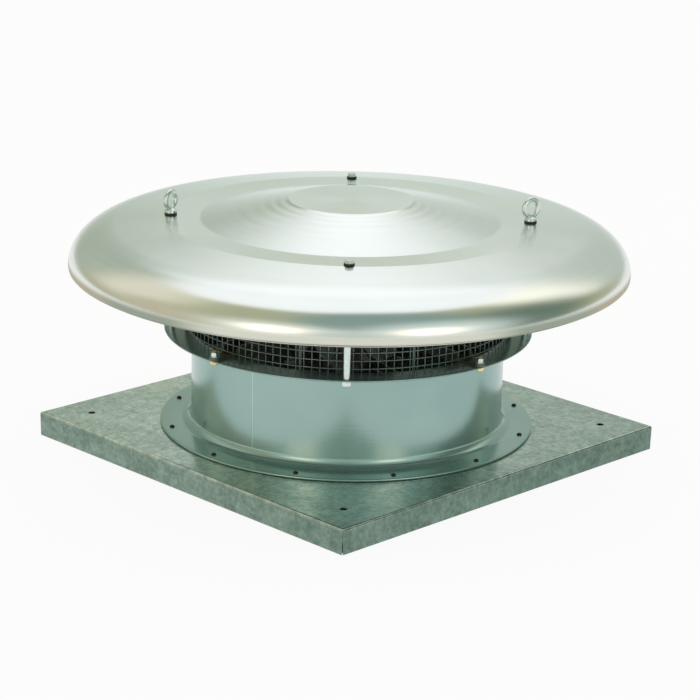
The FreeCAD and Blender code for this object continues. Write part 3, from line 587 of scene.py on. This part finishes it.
def nut_body(flats, low, high, bore=0.0, below=True, above=True):
    """Hexagon along Z, its ends turned to a chamfer, with a bored and chamfered hole if asked."""
    bm = bmesh.new()
    steps = 6
    bore_chamfer = 0.0006
    inner = flats / 2
    face = inner * 0.97
    slope = math.tan(math.radians(30))
    outline = []
    for side in range(6):
        here = spot(inner / math.cos(math.pi / 6), math.pi / 3 * side)
        after = spot(inner / math.cos(math.pi / 6), math.pi / 3 * (side + 1))
        outline += [here.lerp(after, k / steps) for k in range(steps)]

    def row(places, level):
        return [bm.verts.new((co.x, co.y, level(co) if callable(level) else level)) for co in places]

    circle = [co.normalized() * face for co in outline]
    rows = []
    if below:
        rows.append(row(circle, low))
        rows.append(row(outline, lambda co: low + max(0.0, co.length - face) * slope))
    else:
        rows.append(row(outline, low))
    if above:
        rows.append(row(outline, lambda co: high - max(0.0, co.length - face) * slope))
        rows.append(row(circle, high))
    else:
        rows.append(row(outline, high))
    if bore:
        wide = [co.normalized() * (bore + bore_chamfer) for co in outline]
        tight = [co.normalized() * bore for co in outline]
        rows = [row(tight, low + bore_chamfer), row(wide, low)] + rows
        rows += [row(wide, high), row(tight, high - bore_chamfer), rows[0]]
    for first, second in zip(rows, rows[1:]):
        for k in range(len(first)):
            after = (k + 1) % len(first)
            bm.faces.new((first[k], first[after], second[after], second[k]))
    if not bore:
        bm.faces.new(rows[0])
        bm.faces.new(rows[-1])
    return bm


def joined(*parts):
    """One bmesh from several."""
    whole = bmesh.new()
    for part in parts:
        held = bpy.data.meshes.new("part")
        part.to_mesh(held)
        part.free()
        whole.from_mesh(held)
        bpy.data.meshes.remove(held)
    return whole


def washer_body(outer, bore, low, thickness):
    edge = thickness * 0.2
    return lathe([(bore, low), (outer - edge, low), (outer, low + edge), (outer, low + thickness - edge),
                  (outer - edge, low + thickness), (bore, low + thickness)], segments=40)


bolt_circle = 0.288
bolt_radius = 0.004
bolt_pitch = 0.00125
tip_chamfer = 0.0005
bolt_tip_radius = 0.0028
thread_end = 0.0025
head_height = 0.0053
nut_flats = 0.013
nut_height = 0.0065
washer_radius = 0.008
washer_bore = 0.0042
washer_thick = 0.0016
arm_sheet = 0.004
arm_top = rim_top + arm_sheet
bolt_tip = arm_top + washer_thick + nut_height + thread_end
yellow_zinc = plain_surface("yellow_zinc", (0.82, 0.62, 0.27), metallic=1.0, roughness=0.30, grain=160.0,
                            spread=0.16)
shank = [(0.0, rim_under), (bolt_radius, rim_under), (bolt_radius, arm_top)]
shank += threaded(bolt_radius, arm_top, bolt_tip - tip_chamfer, bolt_pitch)[1:]
shank += [(bolt_tip_radius, bolt_tip), (0.0, bolt_tip)]
head = nut_body(nut_flats, rim_under - head_height, rim_under, above=False)
bolts = copies(joined(head, lathe(shank, segments=28)), circle_places(bolt_circle, 4))
add_piece("hexagon_bolts", bolts, yellow_zinc, "arm_bolts", crease=20.0)
bright_zinc = plain_surface("bright_zinc", (0.68, 0.77, 0.74), metallic=1.0, roughness=0.25, grain=180.0,
                            spread=0.08)
washers = copies(washer_body(washer_radius, washer_bore, arm_top, washer_thick),
                 circle_places(bolt_circle, 4))
add_piece("flat_washers", washers, bright_zinc, "arm_washers")
level = arm_top + washer_thick
nuts = copies(nut_body(nut_flats, level, level + nut_height, bolt_radius), circle_places(bolt_circle, 4))
add_piece("bolt_nuts", nuts, bright_zinc, "arm_nuts", crease=20.0)


# Motor and its arms. Pressed channel arms in yellow passivation, darkened as painted shade for the dim inside
# of the casing, and a flange motor in enamel made near-black, partly its own dark paint and partly painted
# shade: cast shields, finned barrel, terminal box. The solids show as they are, edges broken.
def dress(name, material, edge=0.0):
    """Gives a solid of the frame its finish and, where asked, broken edges."""
    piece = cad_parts[name]
    piece.data.materials.clear()
    piece.data.materials.append(material)
    if edge:
        bevel = piece.modifiers.new("broken_edges", "BEVEL")
        bevel.width = edge
        bevel.segments = 2
        bevel.limit_method = "ANGLE"
        bevel.angle_limit = math.radians(35)


# The enamel is near-black: partly the motor's own dark paint, partly painted shade for the dim inside of the
# casing.
enamel = plain_surface("motor_enamel", (0.045, 0.062, 0.064), metallic=0.0, roughness=0.42, grain=420.0,
                       spread=0.20, depth=0.00010)
steel = plain_surface("machined_steel", (0.56, 0.56, 0.56), metallic=1.0, roughness=0.30, grain=500.0,
                      spread=0.10)
laminate = plain_surface("laminated_steel", (0.26, 0.26, 0.28), metallic=0.9, roughness=0.45, grain=600.0,
                         spread=0.18)
copper = plain_surface("varnished_winding", (0.55, 0.24, 0.10), metallic=0.8, roughness=0.35, grain=700.0,
                       spread=0.25)
gland_black = plain_surface("gland_plastic", (0.04, 0.04, 0.04), metallic=0.0, roughness=0.48, spread=0.15)
# Painted shade: the arms' yellow passivation is darkened to stand for the dim inside of the casing.
arm_painted_shade = plain_surface("arm_passivation_painted_dark", (0.17, 0.19, 0.13), metallic=0.9, roughness=0.42, grain=120.0,
                      spread=0.16)
dress("motor_arms", arm_painted_shade, 0.0006)
for name in ("drive_end_shield", "rear_end_shield", "terminal_box", "terminal_lid"):
    dress(name, enamel, 0.0008)
dress("motor_housing", enamel, 0.0004)
for name in ("tie_screws", "motor_nuts", "terminal_screws"):
    dress(name, bright_zinc, 0.0003)
dress("cable_gland", gland_black, 0.0004)
dress("motor_bearings", steel)
dress("motor_shaft", steel, 0.0003)
dress("shaft_key", steel)
dress("stator_core", laminate)
dress("rotor_core", laminate)
dress("stator_windings", copper)
motor_bolt_reach = 0.0825
motor_bolt_radius = 0.005
motor_head_flats = 0.017
motor_head_height = 0.0064
motor_thread_pitch = 0.0015
motor_thread_low = rim_top + 0.016
motor_tip_radius = 0.0036
motor_bolt_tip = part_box("motor_bolts")[1].z
shank = [(0.0, rim_top), (motor_bolt_radius, rim_top), (motor_bolt_radius, motor_thread_low)]
shank += threaded(motor_bolt_radius, motor_thread_low, motor_bolt_tip - tip_chamfer, motor_thread_pitch)[1:]
shank += [(motor_tip_radius, motor_bolt_tip), (0.0, motor_bolt_tip)]
head = nut_body(motor_head_flats, rim_top - motor_head_height, rim_top, above=False)
bolts = copies(joined(head, lathe(shank, segments=28)), circle_places(motor_bolt_reach, 4))
add_piece("motor_flange_bolts", bolts, yellow_zinc, "motor_bolts", crease=20.0)


# Posts. Turned steel spacers, bright zinc plated, that stand on the top flange and carry the cowl. A stud
# goes down through the flange into a washer and nut.
post_radius = 0.006
post_chamfer = 0.0006
cowl_sheet = 0.002
crown_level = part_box("cowl")[1].z
seat_top = crown_level - 0.0314
cowl_under = seat_top - cowl_sheet
stud_low = rim_under - washer_thick - nut_height - thread_end
post = [(0.0, stud_low)] + threaded(bolt_radius, stud_low, rim_top, bolt_pitch)
post += [(post_radius - post_chamfer, rim_top), (post_radius, rim_top + post_chamfer)]
post += [(post_radius, cowl_under - post_chamfer), (post_radius - post_chamfer, cowl_under)]
post.append((0.0, cowl_under))
posts = copies(lathe(post, segments=32), circle_places(bolt_circle, 4, 45.0))
add_piece("turned_posts", posts, bright_zinc, "cowl_posts", crease=30.0)
below = rim_under - washer_thick
post_washers = copies(washer_body(washer_radius, washer_bore, below, washer_thick),
                      circle_places(bolt_circle, 4, 45.0))
add_piece("stud_washers", post_washers, bright_zinc, "post_washers")
nuts = copies(nut_body(nut_flats, below - nut_height, below, bolt_radius),
              circle_places(bolt_circle, 4, 45.0))
add_piece("stud_nuts", nuts, bright_zinc, "post_nuts", crease=20.0)


# Wire guard. Galvanised wire mesh, welded in half-inch squares and rolled into a cylinder in four lengths
# with lapped ends. It stands on the top flange and reaches up to the cowl.
def wire_loop(radius, level, wire, steps, sides=6):
    """Closed hoop of round wire."""
    bm = bmesh.new()
    rings = []
    for k in range(steps):
        turn = 2 * math.pi * k / steps
        rings.append([bm.verts.new(spot(radius + wire * math.cos(2 * math.pi * j / sides), turn)
                                   + Vector((0, 0, level + wire * math.sin(2 * math.pi * j / sides))))
                      for j in range(sides)])
    for k in range(steps):
        here, after = rings[k], rings[(k + 1) % steps]
        for j in range(sides):
            bm.faces.new((here[j], here[(j + 1) % sides], after[(j + 1) % sides], after[j]))
    return bm


guard_radius = 0.262
wire_radius = 0.0009
wire_sides = 8
upright_count = 130
lap_middles = [-60.8, -22.2, 119.2, 157.8]
lap_shift = 0.26
arm_half = 0.018
arm_clearance = 0.0003
upright_low, upright_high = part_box("guard_uprights")
guard_zinc = plain_surface("guard_wire", (0.17, 0.22, 0.205), metallic=0.80, roughness=0.40, grain=500.0,
                           spread=0.20)
uprights = bmesh.new()
angles = [360.0 * (k + 0.5) / upright_count for k in range(upright_count)]
angles += [middle + shift for middle in lap_middles for shift in (-lap_shift, lap_shift)]
for angle in angles:
    nearest = math.radians((angle + 45.0) % 90.0 - 45.0)
    on_arm = abs(guard_radius * math.sin(nearest)) < arm_half + 2 * wire_radius
    low = arm_top + arm_clearance if on_arm else upright_low.z
    foot = spot(guard_radius, math.radians(angle))
    rings = []
    for level in (low, upright_high.z):
        lift = Vector((0, 0, level))
        rings.append([uprights.verts.new(foot + spot(wire_radius, 2 * math.pi * j / wire_sides) + lift)
                      for j in range(wire_sides)])
    for j in range(wire_sides):
        after = (j + 1) % wire_sides
        uprights.faces.new((rings[0][j], rings[0][after], rings[1][after], rings[1][j]))
    for ring in rings:
        uprights.faces.new(ring)
add_piece("upright_wires", uprights, guard_zinc, "guard_uprights", crease=60.0)
hoop_count = 14
hoop_low, hoop_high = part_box("guard_hoops")
weld_offset = 1.85 * wire_radius
first_hoop = hoop_low.z + wire_radius
last_hoop = hoop_high.z - wire_radius
levels = [first_hoop + (last_hoop - first_hoop) * k / (hoop_count - 1) for k in range(hoop_count)]
hoops = joined(*[wire_loop(guard_radius + weld_offset, level, wire_radius, steps=180) for level in levels])
add_piece("hoop_wires", hoops, guard_zinc, "guard_hoops", crease=60.0)


# Cowl. Spun from one aluminium disc: flat crown, low cone, flat seat ring over the posts, steeper cone
# and a full shoulder tucked in to a rolled lip. The spinning tool has left fine rings.
def rounded(points, radii, steps=6):
    """Polyline of (r, z) points with the given bend radius at each inner point."""
    path = [points[0]]
    for before, here, after, radius in zip(points, points[1:], points[2:], radii):
        corner = Vector(here)
        back = (Vector(before) - corner).normalized()
        ahead = (Vector(after) - corner).normalized()
        half = back.angle(ahead) / 2
        reach = radius / math.tan(half)
        for k in range(steps + 1):
            share = k / steps
            start = corner + back * reach * (1 - share)
            end = corner + ahead * reach * share
            path.append(tuple(start * (1 - share) + end * share))
    path.append(points[-1])
    return path


bare_light = (0.83, 0.87, 0.84)
# Painted reflections on the lip and lower shoulder: beige and grey to the sides, bright at the front.
lip_painted_reflections = ((0.50, 0.46, 0.34), (0.36, 0.41, 0.33), (0.72, 0.73, 0.63))
# Painted shade for the faces turned down.
underside_painted_shade = (0.34, 0.36, 0.32)


def spun_aluminium():
    """Bare aluminium with fine tool rings about the Z axis and smears; the lower shoulder and lip are rougher
    and carry painted reflections, and faces turned down are darkened as painted shade.
    """
    material, shader, start = new_surface("spun_aluminium")
    place = start.node("TexCoord", {}, {}, "Object")
    x, y, z = place.split()
    radius = start.math("SQRT", x * x + y * y) + z * 0.7
    fine = line_noise(start, radius, scale=420.0, detail=4.0)
    broad = line_noise(start, radius, scale=63.0, detail=2.0)
    smears = noise(start, place, scale=7.0, detail=4.0, roughness=0.55)
    tone = smears.step(0.25, 0.75) * 0.5 + fine * 0.3 + broad * 0.2
    bare_dark = tuple(value * 0.90 for value in bare_light)
    facing = start.node("TexCoord", {}, {}, "Normal").split()[2]
    lower_rough_and_painted = 1 - facing.step(0.05, 0.26)
    inside = 1 - facing.step(-0.95, -0.75)
    # Painted reflection on the lip: 1 at the front of the lip, over the plate's near corner, where it is
    # painted brightest, and less toward its sides, painted beige and grey.
    round_lip = (x - y) * 1.57
    lip = round_lip.step(0.50, 0.66).mix(lip_painted_reflections[0], lip_painted_reflections[1])
    lip = round_lip.step(0.80, 0.92).mix(lip, lip_painted_reflections[2])
    # The lower shoulder and lip are rougher and take the painted reflection.
    colour = lower_rough_and_painted.mix(tone.mix(bare_dark, bare_light), lip)
    # Painted shade: faces turned down are darkened.
    colour = inside.mix(colour, underside_painted_shade)
    feed(shader, Base_Color=colour, Metallic=1.0, Anisotropic=0.5,
         Roughness=0.15 + fine * 0.05 + smears * 0.08 + lower_rough_and_painted * 0.20,
         Normal=bump(start, fine * 0.3 + broad * 0.7, 0.00009))
    return material


crown_radius = 0.1009
crown_step = 0.0018
crown_step_half = 0.0013
crown_bend = 0.0018
cone_bend = 0.020
outer_bend = 0.006
seat_inner = 0.2403
seat_outer = 0.2960
cowl_reach = 0.4503
shoulder_wide = 0.0893
shoulder_tall = 0.0647
widest_level = seat_top - 0.0724
lip_radius = 0.4418
lip_level = seat_top - 0.0817
bead_radius = 0.0022
shoulder_centre = cowl_reach - shoulder_wide
ring_height = 0.00024
ring_pitch = 0.0029
ring_drift = 0.017
cone_pitch = 0.0016
tuck_turn = 0.0004
tuck_drop = 0.003
tuck_radius = 0.4476
tuck_level = seat_top - 0.0779


def shoulder_start():
    """Angle on the shoulder's ellipse where the straight outer cone meets it smoothly."""
    low, high = 0.0, math.pi / 3
    for _ in range(40):
        angle = (low + high) / 2
        reach = shoulder_centre + shoulder_wide * math.sin(angle) - seat_outer
        slope = shoulder_tall / shoulder_wide * math.tan(angle)
        if seat_top - slope * reach > widest_level + shoulder_tall * math.cos(angle):
            low = angle
        else:
            high = angle
    return angle


def cowl_skin(drop):
    """Profile of one side of the sheet; drop is how far it lies inside the outer skin."""
    wide = shoulder_wide - drop
    tall = shoulder_tall - drop
    join = shoulder_start()
    shoulder = []
    for k in range(25):
        turn = join + (math.pi / 2 - join) * k / 24
        shoulder.append((shoulder_centre + wide * math.sin(turn), widest_level + tall * math.cos(turn)))
    points = [(0.0, crown_level - drop), (crown_radius - crown_step_half, crown_level - drop),
              (crown_radius + crown_step_half, crown_level - crown_step - drop),
              (seat_inner, seat_top - drop), (seat_outer, seat_top - drop), shoulder[0]]
    path = rounded(points, (crown_bend, crown_bend, cone_bend, outer_bend))
    cone = []
    for (r0, z0), (r1, z1) in zip(path, path[1:]):
        pieces = max(1, int((r1 - r0) / cone_pitch)) if r0 > crown_radius and r1 < seat_inner else 1
        cone += [(r0 + (r1 - r0) * k / pieces, z0 + (z1 - z0) * k / pieces) for k in range(pieces)]
    waved = []
    for r, z in cone:
        share = (r - crown_radius) / (seat_inner - crown_radius)
        wave = 0.0
        if 0.02 < share < 1:
            drift = 1.5 * math.sin(r / ring_drift)
            wave = ring_height * (1 - share) ** 1.5 * math.sin(r / ring_pitch + drift)
        waved.append((r, z + wave))
    return waved + shoulder


outer_skin = cowl_skin(0.0) + [(cowl_reach - tuck_turn, widest_level - tuck_drop), (tuck_radius, tuck_level)]
inner_skin = cowl_skin(cowl_sheet) + [(cowl_reach - cowl_sheet - tuck_turn, widest_level - tuck_drop)]
bead_centre = (lip_radius - bead_radius, lip_level + bead_radius)
bead = arc(bead_centre, bead_radius, 20, -220, 16)
profile = outer_skin + bead + inner_skin[::-1]
shell = lathe(profile, segments=288, closed=False)
aluminium = spun_aluminium()
add_piece("spun_cowl", shell, aluminium, "cowl", crease=40.0)


# Cowl fixings. Two forged lifting eyes and two low hexagon bolts, bright zinc plated. Each goes through the
# cowl into a post and is drawn down on a black rubber washer.
washer_hole = 0.004
washer_bulge = 0.0009
eye_washer_radius = 0.0102
eye_washer_thick = 0.003
bolt_washer_radius = 0.0085
bolt_washer_thick = 0.003


def rubber_washer(outer, thick):
    """Rubber washer, squeezed so that its rim bulges."""
    turns = [math.pi * (k / 8 - 0.5) for k in range(9)]
    rim = [(outer - washer_bulge + washer_bulge * math.cos(turn),
            seat_top + thick / 2 + thick / 2 * math.sin(turn)) for turn in turns]
    return lathe([(washer_hole, seat_top)] + rim + [(washer_hole, seat_top + thick)], segments=40)


eye_washers = copies(rubber_washer(eye_washer_radius, eye_washer_thick), circle_places(bolt_circle, 2, 45.0))
bolt_washers = copies(rubber_washer(bolt_washer_radius, bolt_washer_thick),
                      circle_places(bolt_circle, 2, 135.0))
washers = joined(eye_washers, bolt_washers)
add_piece("rubber_washers", washers, rubber, "cowl_washers", crease=40.0)
eye_foot = seat_top + eye_washer_thick
eye_wire = 0.004
eye_mean = 0.014
eye_collar = 0.007
eye_centre = eye_foot + eye_collar + eye_mean
shank_low = cowl_under - 0.018
# Radius and height of the eye's round foot, from its edge on the washer up into the ring.
foot_shape = [(0.0090, 0.0), (0.0096, 0.0006), (0.0096, 0.0042), (0.0082, 0.0058), (0.0058, 0.0068),
              (0.0040, 0.0086), (0.0, 0.0092)]
stand_up = Matrix.Translation((0, 0, eye_centre)) @ Matrix.Rotation(math.pi / 2, 4, "Y")
for name, seat_angle, face_angle in (("right", 45.0, -9.0), ("left", 225.0, 17.0)):
    loop = wire_loop(eye_mean, 0.0, eye_wire, steps=48, sides=16)
    bmesh.ops.transform(loop, matrix=stand_up, verts=loop.verts)
    collar = [(0.0, shank_low)] + threaded(bolt_radius, shank_low, eye_foot, bolt_pitch)
    collar += [(radius, eye_foot + height) for radius, height in foot_shape]
    eye = joined(loop, lathe(collar, segments=32))
    seat = Matrix.Translation(spot(bolt_circle, math.radians(seat_angle)))
    bmesh.ops.transform(eye, matrix=seat @ Matrix.Rotation(math.radians(face_angle), 4, "Z"), verts=eye.verts)
    add_piece("lifting_eye_" + name, eye, bright_zinc, "eye_bolts", crease=40.0)
low = seat_top + bolt_washer_thick
shank = [(0.0, shank_low)] + threaded(bolt_radius, shank_low, low, bolt_pitch) + [(0.0, low)]
head = nut_body(nut_flats, low, low + head_height, below=False)
bolts = copies(joined(head, lathe(shank, segments=28)), circle_places(bolt_circle, 2, 135.0))
add_piece("cowl_screws", bolts, bright_zinc, "cowl_bolts", crease=20.0)


# Impeller. Two cast aluminium hub halves clamp six cast blades by their round roots, and a spun cap
# closes the lower opening. The blades are twisted aerofoils. It is put on the shaft from below, last of
# all, and turns with it.
def blade_mesh(spans, stations):
    """Blade lofted on cylinders about the axis, nose low and forward; its collared round root is turned apart
    from it.
    """
    bm = bmesh.new()
    rows = []
    for j in range(spans + 1):
        share = j / spans
        radius = blade_start + (tip_radius - blade_start) * share
        chord = root_chord - chord_taper * share
        thick = root_thick - thick_taper * share
        pitch = math.atan(blade_lead / (2 * math.pi * radius))
        rest = 4 * blade_camber * chord * axis_share * (1 - axis_share)
        row = []
        for k in list(range(stations, -1, -1)) + list(range(1, stations + 1)):
            upper = len(row) <= stations
            x = 0.5 * (1 - math.cos(math.pi * k / stations))
            half = thick / 2 * math.sqrt(x) * (1 - x) / fullest + tail_half * x
            ahead = (axis_share - x) * chord
            below = 4 * blade_camber * chord * x * (1 - x) - rest + (half if upper else -half)
            forward = ahead * math.cos(pitch) - below * math.sin(pitch)
            rise = -ahead * math.sin(pitch) - below * math.cos(pitch)
            row.append(bm.verts.new((math.sqrt(radius ** 2 - forward ** 2), forward, impeller_level + rise)))
        rows.append(row)
    for first, second in zip(rows, rows[1:]):
        for k in range(len(first)):
            after = (k + 1) % len(first)
            bm.faces.new((first[k], first[after], second[after], second[k]))
    for row in (rows[0], rows[-1]):
        count = len(row)
        for k in range(stations):
            corners = [row[k], row[k + 1], row[(count - 1 - k) % count], row[(count - k) % count]]
            bm.faces.new(list(dict.fromkeys(corners)))
    return bm


impeller_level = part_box("hub_upper")[0].z
root_chord = 0.104
chord_taper = 0.012
root_thick = 0.0095
thick_taper = 0.0035
tail_half = 0.0006
fullest = 0.385
blade_start = 0.0825
tip_radius = 0.24635
blade_lead = 0.5
blade_camber = 0.055
axis_share = 0.42
shank_radius = 0.012
collar_radius = 0.016
shank_inner = 0.046
collar_start = 0.052
collar_width = 0.006
shank_chamfer = 0.0008
fairing_end = blade_start + 0.034
fairing_tip = 0.003
collar_end = collar_start + collar_width
root = [(0.0, shank_inner), (shank_radius - shank_chamfer, shank_inner)]
root += [(shank_radius, shank_inner + shank_chamfer), (shank_radius, collar_start)]
root += [(collar_radius, collar_start), (collar_radius, collar_end)]
root += [(shank_radius, collar_end), (shank_radius, blade_start)]
for k in range(1, 9):
    share = k / 8
    root.append((shank_radius + (fairing_tip - shank_radius) * (share * share * (3 - 2 * share)),
                 blade_start + (fairing_end - blade_start) * share))
root.append((0.0, fairing_end))
root_bm = lathe(root, segments=32)
lie_down = Matrix.Translation((0, 0, impeller_level)) @ Matrix.Rotation(math.pi / 2, 4, "Y")
bmesh.ops.transform(root_bm, matrix=lie_down, verts=root_bm.verts)
blades = copies(joined(blade_mesh(spans=16, stations=14), root_bm), circle_places(0.0, 6))
# Painted shade: the cast aluminium is darker than bare metal, to stand for the dim inside of the casing.
cast = plain_surface("cast_aluminium", (0.36, 0.38, 0.38), metallic=1.0, roughness=0.46, grain=380.0,
                     spread=0.16, depth=0.00012)
add_piece("aerofoil_blades", blades, cast, "impeller_blades", crease=45.0, body="rotor")
dress("hub_upper", cast, 0.0008)
dress("hub_lower", cast, 0.0008)
dress("clamp_screws", bright_zinc, 0.0003)
dress("retaining_screw", bright_zinc, 0.0003)
dress("hub_cap", aluminium)
